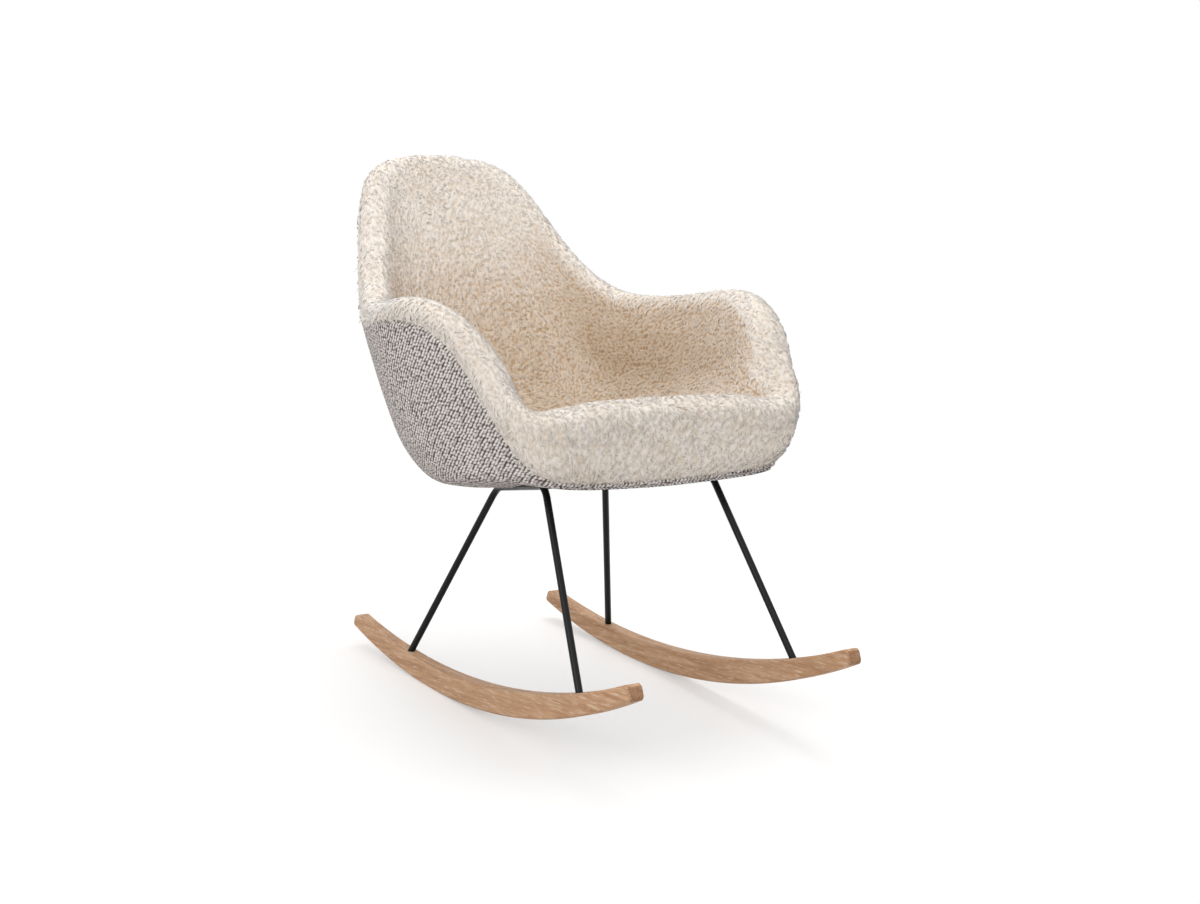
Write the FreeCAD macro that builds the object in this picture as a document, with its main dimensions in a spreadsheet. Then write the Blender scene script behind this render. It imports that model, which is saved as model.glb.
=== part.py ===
import FreeCAD, Part
import Sketcher
import math
import os

# Boucle rocking chair: an upholstered bucket on two bent steel rods and two oak rockers.
# The origin lies on the floor, midway between the rockers, where they touch it.
# The front of the chair looks along -Y, +Z is up, and the sitter's left is +X.

Vector = FreeCAD.Vector
Rotation = FreeCAD.Rotation
Placement = FreeCAD.Placement

# The crest of the padded rim from the front middle to the back middle, on the left half.
# Each station gives its distance from the middle plane, its depth, its height and its roll radius.
RIM_STATIONS = [
    ("front_middle", 0, -251, 475, 40),
    ("front_side", 145, -259, 475, 40),
    ("front_corner", 232, -272, 460, 36),
    ("arm_foot", 249, -237, 507, 29),
    ("arm_front", 278, -152, 614, 25),
    ("arm_crown", 302, -44, 635, 25),
    ("arm_top", 290, 80, 615, 25),
    ("arm_rear", 246, 192, 610, 25),
    ("back_side", 202, 284, 665, 25),
    ("back_shoulder", 158, 374, 796, 25),
    ("back_corner", 120, 425, 848, 25),
    ("back_middle", 0, 443, 859, 25),
]

# How far up the outer wall the seam between the two covers runs, at each station.
SEAM_LEVELS = [0.06, 0.07, 0.10, 0.36, 0.93, 0.98, 0.98, 0.98, 0.98, 0.98, 0.98, 0.98]

SIZES = {
    # underside, seat and rim of the bucket
    "underside_height": 338.5,
    "underside_half_width": 254,
    "underside_front": -258,
    "underside_rear": 48,
    "underside_tilt": 8,
    "underside_flat_front": -205,
    "front_drop": 22,
    "seat_rise": 91.5,
    "seat_half_width": 225,
    "seat_front": -180,
    "seat_rear": 215,
    "seat_tilt": 5,
    # layers of the upholstery
    "inner_cover_thickness": 8,
    "outer_cover_thickness": 4,
    "shell_thickness": 5,
    "shell_rim_inset": 13,
    "layer_gap": 0.3,
    # bent rods
    "rod_diameter": 11,
    "rod_bend_radius": 30,
    "rod_clearance": 1.5,
    "run_rear_half": 103,
    "run_rear": 50,
    "run_front_half": 152,
    "run_front": -175,
    "foot_rear": 175,
    "foot_front": -332,
    "weld_gap": 0.2,
    "rear_bar": 20,
    "front_bar": -148,
    # fixing of the base to the bucket
    "rear_tab": -14,
    "front_tab": -118,
    "tab_length": 32,
    "tab_width": 26,
    "tab_thickness": 4,
    "tab_corner": 6,
    "pad_width": 24,
    "pad_thickness": 4,
    "bolt_offset": 18,
    "bolt_diameter": 6,
    "bolt_clearance": 0.3,
    "thread_clearance": 0.1,
    "bolt_head_diameter": 11,
    "bolt_head_height": 4,
    "nut_diameter": 11.5,
    "nut_height": 5,
    "nut_pocket_clearance": 1,
    # rockers
    "rocker_half_spacing": 194,
    "rocker_thickness": 26,
    "rocker_sole_radius": 1164,
    "rocker_top_radius": 1440,
    "rocker_top_shift": 22,
    "rocker_height": 38.6,
    "rocker_front": 477,
    "rocker_rear": 364,
    "rocker_end_rake": 8,
    "rocker_end_radius": 7,
    "rocker_edge_chamfer": 2.5,
    # fixing of the rods to the rockers
    "socket_depth": 22,
    "socket_clearance": 0.2,
    "socket_floor_gap": 0.3,
    # roll of the whole chair at rest
    "rest_lean": 4.596,
}

# Facets round the bucket's rim.
FACETS_AROUND = 48

SIDES = {"left": 1, "right": -1}
ENDS = ("rear", "front")

doc = FreeCAD.newDocument("rocking_chair")
sheet = doc.addObject("Spreadsheet::Sheet", "sizes")
finished = []


def fill_sheet():
    """Write every size into the sheet under its own name."""
    rows = []
    for name, half, depth, height, roll in RIM_STATIONS:
        rows.append((name + "_half", half))
        rows.append((name + "_depth", depth))
        rows.append((name + "_height", height))
        rows.append((name + "_roll", roll))
    for name, level in zip([station[0] for station in RIM_STATIONS], SEAM_LEVELS):
        rows.append((name + "_seam", level))
    rows.extend(SIZES.items())
    for number, (alias, value) in enumerate(rows, start=1):
        sheet.set(f"A{number}", alias)
        sheet.set(f"B{number}", str(value))
        sheet.setAlias(f"B{number}", alias)
    doc.recompute()


def size(alias):
    return float(getattr(sheet, alias))


def bind(thing, **expressions):
    """Tie properties of a document object to the sheet."""
    for name, text in expressions.items():
        thing.setExpression(name.replace("__", "."), text)
    return thing


def finish(thing, label):
    thing.Label = label
    finished.append(thing)
    return thing


def feature(name, shape, place=None):
    thing = doc.addObject("Part::Feature", name)
    thing.Shape = shape
    if place is not None:
        thing.Placement = place
    return thing


def fuse(name, shapes):
    thing = doc.addObject("Part::MultiFuse", name)
    thing.Shapes = shapes
    return thing


def cut(name, base, tool):
    thing = doc.addObject("Part::Cut", name)
    thing.Base = base
    thing.Tool = tool
    return thing


def group(name, things):
    thing = doc.addObject("Part::Compound", name)
    thing.Links = things
    return thing


def cylinder(name, radius, height, place):
    """A cylinder whose radius and height are expressions of the sheet."""
    thing = doc.addObject("Part::Cylinder", name)
    thing.Placement = place
    return bind(thing, Radius=radius, Height=height)


def along(point, direction):
    """A placement at a point whose local Z looks along a direction."""
    return Placement(point, Rotation(Vector(0, 0, 1), direction))


# Form of the bucket


def superellipse(count, half, front, rear, power=2.6):
    """Half of a rounded plan outline, from the front middle to the rear middle."""
    points = []
    for step in range(count):
        turn = math.pi * step / (count - 1)
        across = half * abs(math.sin(turn)) ** (2 / power)
        fore = math.copysign(abs(math.cos(turn)) ** (2 / power), -math.cos(turn))
        points.append(Vector(across, (front + rear) / 2 + (rear - front) / 2 * fore, 0))
    points[0].x = 0
    points[-1].x = 0
    return points


def lifted(points, height, tilt):
    """Raise plan points onto a plane that falls towards the rear."""
    slope = math.tan(math.radians(tilt))
    return [Vector(p.x, p.y, height - p.y * slope) for p in points]


def scaled(points, share):
    """Shrink a plan outline about its own middle."""
    middle = Vector(0, (points[0].y + points[-1].y) / 2, 0)
    return [middle + (p - middle) * share for p in points]


def mix(start, end, share):
    return [a + (b - a) * share for a, b in zip(start, end)]


def outward_directions(crest):
    """Level directions square to the crest line, pointing away from the sitter."""
    count = len(crest)
    directions = []
    for step in range(count):
        if step in (0, count - 1):
            directions.append(Vector(0, -1 if step == 0 else 1, 0))
            continue
        run = crest[step + 1] - crest[step - 1]
        directions.append(Vector(run.y, -run.x, 0).normalize())
    return directions


def mirrored(half_row):
    """Close a half row of points round the other side of the middle plane."""
    other = [Vector(-p.x, p.y, p.z) for p in half_row[-2:0:-1]]
    return half_row + other


class BucketForm:
    """Rows of control points up the outer wall, over the rim and down to the seat."""

    FLAT_SHARE = 0.9
    CORNER_SAVING = 0.9
    WALL_SHARES = ((0.5, 0.03, 0), (0.78, 0.30, 0), (0.93, 0.65, 0.5))
    WALL_TOP = 0.8
    RIM_DROP = 1.3
    RIM_SET = 1.45
    SEAM_ROW = 5
    SEAM_SLIT = 0.012

    def __init__(self):
        names = [station[0] for station in RIM_STATIONS]
        self.crest = [
            Vector(size(n + "_half"), size(n + "_depth"), size(n + "_height")) for n in names
        ]
        self.seam_levels = [size(n + "_seam") for n in names]
        self.outward = outward_directions(self.crest)
        self.rolls = [size(n + "_roll") for n in names]
        self.down = self.plane_normal("underside_tilt") * -1
        self.up = self.plane_normal("seat_tilt")
        count = len(names)
        plan = superellipse(
            count, size("underside_half_width"), size("underside_front"), size("underside_rear")
        )
        inset = scaled(plan, self.FLAT_SHARE)
        mounting = superellipse(count, inset[count // 2].x, size("underside_flat_front"), inset[-1].y)
        tilt = size("underside_tilt")
        level = lifted(plan, size("underside_height"), tilt)
        self.edge = [p - Vector(0, 0, self.front_sag(p)) for p in level]
        self.flat = lifted(mounting, size("underside_height"), tilt)
        self.wall_corners = self.make_wall()

    @staticmethod
    def plane_normal(alias):
        turn = math.radians(size(alias))
        return Vector(0, math.sin(turn), math.cos(turn))

    @classmethod
    def front_sag(cls, point):
        """How far the foot of the wall hangs below the underside, most at the front middle."""
        middle = (size("underside_front") + size("underside_rear")) / 2
        forward = max((middle - point.y) / (middle - size("underside_front")), 0)
        aside = point.x / size("underside_half_width")
        return size("front_drop") * forward ** 2 * (1 - cls.CORNER_SAVING * aside ** 2)

    def make_wall(self):
        """Corner rows of the outer wall, fuller where the inner cover runs down over it."""
        rows = []
        for plan, height, swell in self.WALL_SHARES:
            row = []
            stations = zip(self.edge, self.crest, self.outward, self.rolls, self.seam_levels)
            for edge, crest, out, roll, seam in stations:
                fullness = 1 - seam
                span = crest - edge
                rise = span.z - self.RIM_DROP * roll * fullness
                point = edge + Vector(span.x * plan, span.y * plan, rise * height)
                row.append(point + out * (roll * (swell + (plan - swell) * fullness)))
            rows.append(row)
        rows.append(self.rim(1, -self.WALL_TOP))
        return rows

    def rim(self, across, rise):
        """A row beside the crest, measured in roll radii outward and upward."""
        return [
            crest + out * (roll * across) + Vector(0, 0, roll * rise)
            for crest, out, roll in zip(self.crest, self.outward, self.rolls)
        ]

    def wall(self, levels):
        """A row part of the way up the outer wall, 0 at its foot and 1 below the rim."""
        row = []
        spans = len(self.wall_corners) - 1
        for station, level in enumerate(levels):
            place = min(max(level, 0), 1) * spans
            span = min(int(place), spans - 1)
            low = self.wall_corners[span][station]
            high = self.wall_corners[span + 1][station]
            row.append(low + (high - low) * (place - span))
        return row

    def outer_rows(self):
        seam = self.seam_levels
        return [
            self.flat,
            self.edge,
            self.wall([0] * len(seam)),
            self.wall([0.5 * level for level in seam]),
            self.wall([0.9 * level for level in seam]),
            self.wall(seam),
            self.wall([0.5 + 0.5 * level for level in seam]),
            self.wall([1] * len(seam)),
        ]

    def inner_rows(self):
        plan = superellipse(
            len(self.crest), size("seat_half_width"), size("seat_front"), size("seat_rear")
        )
        seat_height = size("underside_height") + size("seat_rise")
        foot = lifted(plan, seat_height, size("seat_tilt"))
        top = []
        for crest, out, roll in zip(self.crest, self.outward, self.rolls):
            wall_height = crest.z - seat_height
            drop = min(max((wall_height - 1.2 * roll) / (4.8 * roll), 0.1), 1)
            top.append(crest - out * (self.RIM_SET * roll) - Vector(0, 0, self.RIM_DROP * roll * drop))
        rows = [top, mix(top, foot, 0.42), mix(top, foot, 0.82)]
        for share in (0.78, 0.5, 0.25):
            rows.append(lifted(scaled(plan, share), seat_height, size("seat_tilt")))
        return rows

    def skin(self):
        """The whole visible skin of the upholstered bucket, as closed rows."""
        rows = self.outer_rows()
        rows += [self.rim(0.95, -0.1), self.rim(0, 0.42), self.rim(-0.95, -0.1)]
        rows += self.inner_rows()
        return [mirrored(row) for row in rows]

    def skin_normals(self, rows):
        """Outward directions at the control points; the two flat ends keep their own."""
        normals = []
        for number, row in enumerate(rows):
            if number < 2:
                normals.append([self.down] * len(row))
                continue
            if number >= len(rows) - 3:
                normals.append([self.up] * len(row))
                continue
            before, after = rows[number - 1], rows[number + 1]
            line = []
            for column in range(len(row)):
                along_row = row[(column + 1) % len(row)] - row[column - 1]
                up_wall = after[column] - before[column]
                line.append(along_row.cross(up_wall).normalize())
            normals.append(line)
        return normals

    def sunk(self, rows, depths):
        """Move each row of the skin inward by its own depth."""
        normals = self.skin_normals(rows)
        return [
            [p - n * depth for p, n in zip(row, line)]
            for row, line, depth in zip(rows, normals, depths)
        ]


def spline_surface(rows):
    """A smooth surface, closed round the bucket, drawn by rows of control points."""
    around = len(rows[0])
    poles = [[row[column] for row in rows] for column in range(around)]
    spans = len(rows) - 3
    surface = Part.BSplineSurface()
    surface.buildFromPolesMultsKnots(
        poles,
        [1] * (around + 1),
        [4] + [1] * (spans - 1) + [4],
        list(range(around + 1)),
        list(range(spans + 1)),
        True,
        False,
        3,
        3,
    )
    return surface


def row_level(number, count):
    """The surface parameter at which a row of control points pulls most."""
    top = count - 3
    knots = [min(max(number + step - 3, 0), top) for step in (1, 2, 3)]
    return sum(knots) / 3


def ring(surface, level):
    """Points round the bucket at one level of a surface."""
    first, last = surface.bounds()[:2]
    step = (last - first) / FACETS_AROUND
    return [surface.value(first + step * number, level) for number in range(FACETS_AROUND)]


def lid(surface, level):
    points = ring(surface, level)
    return Part.Face(Part.makePolygon(points + points[:1]))


def bridge(lower, upper):
    """Triangles between two rings, with diagonals that mirror in the middle plane."""
    faces = []
    for number in range(FACETS_AROUND):
        following = (number + 1) % FACETS_AROUND
        a, b, c, d = lower[number], lower[following], upper[following], upper[number]
        corners = ((a, b, c), (a, c, d)) if number < FACETS_AROUND / 2 else ((a, b, d), (b, c, d))
        faces += [Part.Face(Part.makePolygon([p, q, r, p])) for p, q, r in corners]
    return faces


def band(surface, levels):
    rings = [ring(surface, level) for level in levels]
    return [face for pair in zip(rings, rings[1:]) for face in bridge(*pair)]


def spaced(*stops):
    """Levels between stops: each stop after the first gives its level and a count of steps."""
    levels = [stops[0]]
    for level, count in stops[1:]:
        start = levels[-1]
        levels += [start + (level - start) * step / count for step in range(1, count + 1)]
    return levels


def solid_of(faces):
    shell = Part.makeShell(faces)
    shell.sewShape()
    solid = Part.Solid(shell)
    if solid.Volume < 0:
        solid.reverse()
    return solid


def make_bucket():
    """The two covers, the foam and the moulded shell, as four nested solids."""
    form = BucketForm()
    gap = size("layer_gap")
    inner = size("inner_cover_thickness")
    outer = size("outer_cover_thickness")
    skin_rows = form.skin()
    count = len(skin_rows)
    outside_count = len(form.outer_rows())
    seam = row_level(form.SEAM_ROW, count)
    low_seam = seam - form.SEAM_SLIT
    rim_low = row_level(outside_count - 1, count)
    rim_high = row_level(outside_count + 3, count)
    top = count - 3
    outer_levels = spaced(0, (low_seam, 6))
    inner_levels = spaced(seam, (rim_low, 2), (rim_high, 6), (top, 5))

    def sunk_skin(depth):
        return spline_surface(form.sunk(skin_rows, [depth] * count))

    face_side = sunk_skin(0)
    outer_back = sunk_skin(outer)
    inner_back = sunk_skin(inner)
    foam_face = sunk_skin(inner + gap)
    outer_cover = solid_of(
        band(face_side, outer_levels)
        + band(outer_back, outer_levels)
        + [lid(face_side, 0), lid(outer_back, 0)]
        + bridge(ring(face_side, low_seam), ring(outer_back, low_seam))
    )
    inner_cover = solid_of(
        band(face_side, inner_levels)
        + band(inner_back, inner_levels)
        + [lid(face_side, top), lid(inner_back, top)]
        + bridge(ring(face_side, seam), ring(inner_back, seam))
    )

    thickness = size("shell_thickness")
    wall_depths = [outer + gap] * form.SEAM_ROW
    wall_depths += [size("shell_rim_inset")] * (outside_count - form.SEAM_ROW)
    unused_depths = [0] * (count - outside_count)

    def shell_surface(growth):
        """Up the outside of the moulded shell, over its lip and down its inside."""
        outside_depths = [depth - growth for depth in wall_depths]
        inside_depths = [depth + thickness + growth for depth in wall_depths]
        outside = form.sunk(skin_rows, outside_depths + unused_depths)[:outside_count]
        inside = form.sunk(skin_rows, inside_depths + unused_depths)[:outside_count]
        lip_rise = Vector(0, 0, 0.7 * thickness + growth)
        lip = [(a + b) * 0.5 + lip_rise for a, b in zip(outside[-1], inside[-1])]
        return spline_surface(outside + [lip] + inside[::-1])

    shell_count = 2 * outside_count + 1
    shell_top = shell_count - 3
    shell_seam = row_level(form.SEAM_ROW, shell_count)
    lip_low = row_level(outside_count - 1, shell_count)
    lip_high = row_level(outside_count + 1, shell_count)
    lip_levels = spaced(shell_seam, (lip_low, 2), (lip_high, 3), (shell_top, 4))
    shell_face = shell_surface(0)
    foam_seat = shell_surface(gap)
    seat_shell = solid_of(
        band(shell_face, spaced(0, (shell_seam, 6)))
        + band(shell_face, lip_levels)
        + [lid(shell_face, 0), lid(shell_face, shell_top)]
    )
    seat_foam = solid_of(
        band(foam_face, inner_levels)
        + band(foam_seat, lip_levels)
        + [lid(foam_face, top), lid(foam_seat, shell_top)]
        + bridge(ring(foam_face, seam), ring(foam_seat, shell_seam))
    )
    return {
        "inner_cover": inner_cover,
        "outer_cover": outer_cover,
        "seat_foam": seat_foam,
        "seat_shell": seat_shell,
    }


# Places under the seat, measured in the plane of the tilted underside


def underside_place():
    return Placement(
        Vector(0, 0, size("underside_height")), Rotation(Vector(1, 0, 0), -size("underside_tilt"))
    )


def under(across, depth, rise):
    """A point of the room from a point of the underside's own plane."""
    return underside_place().multVec(Vector(across, depth, rise))


def run_half(depth):
    """Half the spacing of the two rod runs at a depth along the underside."""
    share = (depth - size("run_front")) / (size("run_rear") - size("run_front"))
    return size("run_front_half") + (size("run_rear_half") - size("run_front_half")) * share


def tab_underside():
    return -size("pad_thickness") - size("tab_thickness")


def rod_level():
    return -size("rod_clearance") - size("rod_diameter") / 2


def fixing_points(rise):
    """The four bolt axes: name, side and a point at a height above the underside."""
    points = []
    for end in ENDS:
        depth = size(end + "_tab")
        for side, sign in SIDES.items():
            across = sign * (run_half(depth) - size("bolt_offset"))
            points.append((f"{end}_{side}", sign, depth, under(across, depth, rise)))
    return points


def upright(point):
    return Placement(point, underside_place().Rotation)


# Places at the feet


def rocker_top(depth):
    """Height of the rockers' top face at a depth."""
    radius = size("rocker_top_radius")
    offset = depth - size("rocker_top_shift")
    return size("rocker_height") + radius - math.sqrt(radius ** 2 - offset ** 2)


def leg_line(sign, end):
    """Where a leg enters its rocker, and the direction up the leg."""
    depth = size("foot_" + end)
    foot = Vector(sign * size("rocker_half_spacing"), depth, rocker_top(depth))
    run_end = under(sign * size(f"run_{end}_half"), size("run_" + end), rod_level())
    return foot, (run_end - foot).normalize()


def bent_path(points, radius):
    """Straight runs joined by tangent arcs."""
    edges = []
    start = points[0]
    for before, corner, after in zip(points, points[1:], points[2:]):
        back = (before - corner).normalize()
        ahead = (after - corner).normalize()
        half_turn = back.getAngle(ahead) / 2
        reach = radius / math.tan(half_turn)
        first = corner + back * reach
        last = corner + ahead * reach
        bisector = (back + ahead).normalize()
        middle = corner + bisector * (radius / math.sin(half_turn) - radius)
        edges.append(Part.LineSegment(start, first).toShape())
        edges.append(Part.Arc(first, middle, last).toShape())
        start = last
    edges.append(Part.LineSegment(start, points[-1]).toShape())
    return Part.Wire(edges)


def make_rod(side, sign):
    """One bent rod: rear leg, run under the seat and front leg."""
    feet = {end: leg_line(sign, end) for end in ENDS}
    ends = {
        end: foot - up * (size("socket_depth") - size("socket_floor_gap"))
        for end, (foot, up) in feet.items()
    }
    corners = {
        end: under(sign * size(f"run_{end}_half"), size("run_" + end), rod_level()) for end in ENDS
    }
    points = [ends["rear"], corners["rear"], corners["front"], ends["front"]]
    path = feature(f"{side}_rod_path", bent_path(points, size("rod_bend_radius")))
    section = doc.addObject("Part::Circle", f"{side}_rod_section")
    section.Placement = along(ends["rear"], feet["rear"][1])
    bind(section, Radius="sizes.rod_diameter / 2")
    bar = doc.addObject("Part::Sweep", f"{side}_rod_bar")
    bar.Sections = [section]
    bar.Spine = (path, [f"Edge{n + 1}" for n in range(len(path.Shape.Edges))])
    bar.Solid = True
    finish(bar, f"{side}_leg_rod")


def run_cope(name, sign):
    """A cylinder along a run, a weld gap wider than the rod, for cutting what meets the run."""
    rear = under(sign * size("run_rear_half"), size("run_rear"), rod_level())
    front = under(sign * size("run_front_half"), size("run_front"), rod_level())
    return cylinder(
        f"{name}_cope",
        "sizes.rod_diameter / 2 + sizes.weld_gap",
        str((rear - front).Length),
        along(front, rear - front),
    )


def make_cross_bar(end):
    """A bar between the two runs, hollowed at its ends to sit against them."""
    depth = size(end + "_bar")
    reach = run_half(depth)
    start = under(-reach, depth, rod_level())
    bar = cylinder(
        f"{end}_bar_blank", "sizes.rod_diameter / 2", str(2 * reach), along(start, Vector(1, 0, 0))
    )
    tools = [run_cope(f"{end}_bar_{side}", sign) for side, sign in SIDES.items()]
    finish(cut(f"{end}_bar", bar, fuse(f"{end}_bar_copes", tools)), f"{end}_cross_bar")


def make_tab(name, sign, depth):
    """A plate welded to the inner flank of a run, with cut corners and a bolt hole."""
    run = run_half(depth)
    plate = doc.addObject("Part::Box", f"{name}_plate")
    bind(
        plate, Length="sizes.tab_length", Width="sizes.tab_width", Height="sizes.tab_thickness"
    )
    low_edge = -run if sign < 0 else run - size("tab_length")
    corner = under(low_edge, depth - size("tab_width") / 2, tab_underside())
    plate.Placement = upright(corner)
    doc.recompute()
    trimmed = doc.addObject("Part::Chamfer", f"{name}_trimmed")
    trimmed.Base = plate
    axis = underside_place().Rotation.multVec(Vector(0, 0, 1))
    trimmed.Edges = [
        (number, size("tab_corner"), size("tab_corner"))
        for number, edge in enumerate(plate.Shape.Edges, start=1)
        if abs(edge.tangentAt(edge.FirstParameter).dot(axis)) > 0.99
    ]
    across = sign * (run - size("bolt_offset"))
    hole = cylinder(
        f"{name}_hole",
        "sizes.bolt_diameter / 2 + sizes.bolt_clearance",
        "sizes.tab_thickness * 3",
        upright(under(across, depth, tab_underside() - size("tab_thickness"))),
    )
    tools = fuse(f"{name}_tab_tools", [hole, run_cope(f"{name}_tab", sign)])
    return cut(f"{name}_tab", trimmed, tools)


def hexagon(name, diameter, height, place):
    prism = doc.addObject("Part::Prism", name)
    prism.Polygon = 6
    prism.Placement = place
    return bind(prism, Circumradius=f"sizes.{diameter} / 2", Height=f"sizes.{height}")


def make_bolt(name, point, axis):
    """A bolt whose hexagon head bears on the tab and whose shank ends flush with the nut."""
    bearing = point + axis * tab_underside()
    head = hexagon(
        f"{name}_bolt_head",
        "bolt_head_diameter",
        "bolt_head_height",
        upright(bearing - axis * size("bolt_head_height")),
    )
    shank = cylinder(
        f"{name}_bolt_shank",
        "sizes.bolt_diameter / 2",
        "sizes.tab_thickness + sizes.pad_thickness + sizes.outer_cover_thickness"
        " + sizes.layer_gap + sizes.shell_thickness + sizes.nut_height",
        upright(bearing),
    )
    return fuse(f"{name}_bolt", [head, shank])


def make_nut(name, point, axis):
    """A hexagon nut on the inside of the shell, sunk in a pocket of the foam."""
    seat = size("outer_cover_thickness") + size("layer_gap") + size("shell_thickness")
    place = upright(point + axis * seat)
    blank = hexagon(f"{name}_nut_blank", "nut_diameter", "nut_height", place)
    thread = cylinder(
        f"{name}_nut_thread",
        "sizes.bolt_diameter / 2 + sizes.thread_clearance",
        "sizes.nut_height",
        place,
    )
    return cut(f"{name}_nut", blank, thread)


def make_pad(name, point, axis):
    """A rubber pad between a tab and the underside of the bucket."""
    low = point - axis * size("pad_thickness")
    half = size("pad_width") / 2
    block = doc.addObject("Part::Box", f"{name}_pad_block")
    block.Placement = upright(low - underside_place().Rotation.multVec(Vector(half, half, 0)))
    bind(block, Length="sizes.pad_width", Width="sizes.pad_width", Height="sizes.pad_thickness")
    hole = cylinder(
        f"{name}_pad_hole",
        "sizes.bolt_diameter / 2 + sizes.bolt_clearance",
        "sizes.pad_thickness",
        upright(low),
    )
    return cut(f"{name}_pad", block, hole)


def make_fixings():
    """Tabs, pads, bolts and nuts at the four fixing points."""
    sets = {"mount_tabs": [], "spacer_pads": [], "mount_bolts": [], "shell_nuts": []}
    axis = underside_place().Rotation.multVec(Vector(0, 0, 1))
    for name, sign, depth, point in fixing_points(0):
        sets["mount_tabs"].append(make_tab(name, sign, depth))
        sets["spacer_pads"].append(make_pad(name, point, axis))
        sets["mount_bolts"].append(make_bolt(name, point, axis))
        sets["shell_nuts"].append(make_nut(name, point, axis))
    for label, pieces in sets.items():
        finish(group(f"{label}_group", pieces), label)


def make_upholstery():
    """The bucket's layers, drilled and pocketed at the fixing points."""
    layers = make_bucket()
    axis = underside_place().Rotation.multVec(Vector(0, 0, 1))
    shell_floor = size("outer_cover_thickness") + size("layer_gap")
    foam_floor = shell_floor + size("shell_thickness") + size("layer_gap")
    drills = {
        "outer_cover": (
            "sizes.bolt_diameter / 2 + sizes.bolt_clearance",
            "3 * sizes.outer_cover_thickness",
            -size("outer_cover_thickness"),
        ),
        "seat_shell": (
            "sizes.bolt_diameter / 2 + sizes.bolt_clearance",
            "3 * sizes.shell_thickness",
            shell_floor - size("shell_thickness"),
        ),
        "seat_foam": (
            "sizes.nut_diameter / 2 + sizes.nut_pocket_clearance",
            "2 * (sizes.nut_height + sizes.nut_pocket_clearance)",
            foam_floor - size("nut_height") - size("nut_pocket_clearance"),
        ),
    }
    for node, solid in layers.items():
        layer = feature(f"{node}_layer", solid)
        if node not in drills:
            finish(layer, node)
            continue
        radius, height, rise = drills[node]
        tools = [
            cylinder(f"{node}_{name}_drill", radius, height, upright(point + axis * rise))
            for name, sign, depth, point in fixing_points(0)
        ]
        finish(cut(f"{node}_drilled", layer, fuse(f"{node}_drills", tools)), node)


def rocker_sketch(body, side):
    """Side view of a rocker: a round sole, a flatter top and raked ends."""
    sketch = body.newObject("Sketcher::SketchObject", f"{side}_rocker_profile")
    plane = [p for p in body.Origin.OriginFeatures if p.Role == "YZ_Plane"][0]
    sketch.AttachmentSupport = [(plane, "")]
    sketch.MapMode = "FlatFace"
    sole = size("rocker_sole_radius")
    top = size("rocker_top_radius")
    sole_middle = Vector(0, sole, 0)
    top_middle = Vector(size("rocker_top_shift"), size("rocker_height") + top, 0)
    rake = size("rocker_end_rake")

    def turn_at(middle, radius, depth):
        return 1.5 * math.pi + math.asin((depth - middle.x) / radius)

    front, rear = -size("rocker_front"), size("rocker_rear")
    normal = Vector(0, 0, 1)
    sole_arc = Part.ArcOfCircle(
        Part.Circle(sole_middle, normal, sole),
        turn_at(sole_middle, sole, front),
        turn_at(sole_middle, sole, rear),
    )
    top_arc = Part.ArcOfCircle(
        Part.Circle(top_middle, normal, top),
        turn_at(top_middle, top, front + rake),
        turn_at(top_middle, top, rear - rake),
    )
    lower = sketch.addGeometry(sole_arc)
    upper = sketch.addGeometry(top_arc)
    front_end = sketch.addGeometry(Part.LineSegment(sole_arc.StartPoint, top_arc.StartPoint))
    rear_end = sketch.addGeometry(Part.LineSegment(sole_arc.EndPoint, top_arc.EndPoint))
    start, end, centre, origin = 1, 2, 3, (-1, 1)
    rule = Sketcher.Constraint
    for first, first_point, second, second_point in (
        (lower, start, front_end, start),
        (upper, start, front_end, end),
        (lower, end, rear_end, start),
        (upper, end, rear_end, end),
    ):
        sketch.addConstraint(rule("Coincident", first, first_point, second, second_point))
    sketch.addConstraint(rule("PointOnObject", lower, centre, -2))
    sizes = (
        (rule("Radius", lower, sole), "sizes.rocker_sole_radius"),
        (rule("DistanceY", *origin, lower, centre, sole), "sizes.rocker_sole_radius"),
        (rule("Radius", upper, top), "sizes.rocker_top_radius"),
        (rule("DistanceX", *origin, upper, centre, top_middle.x), "sizes.rocker_top_shift"),
        (
            rule("DistanceY", *origin, upper, centre, top_middle.y),
            "sizes.rocker_height + sizes.rocker_top_radius",
        ),
        (rule("DistanceX", lower, start, *origin, -front), "sizes.rocker_front"),
        (rule("DistanceX", *origin, lower, end, rear), "sizes.rocker_rear"),
        (
            rule("DistanceX", upper, start, *origin, -front - rake),
            "sizes.rocker_front - sizes.rocker_end_rake",
        ),
        (
            rule("DistanceX", *origin, upper, end, rear - rake),
            "sizes.rocker_rear - sizes.rocker_end_rake",
        ),
    )
    for constraint, expression in sizes:
        number = sketch.addConstraint(constraint)
        sketch.setExpression(f"Constraints[{number}]", expression)
    return sketch


def edges_along_x(shape):
    """Names of the straight edges that run across the chair."""
    return [
        f"Edge{number}"
        for number, edge in enumerate(shape.Edges, start=1)
        if edge.Curve.TypeId == "Part::GeomLine"
        and abs(edge.tangentAt(edge.FirstParameter).x) > 0.99
    ]


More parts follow.
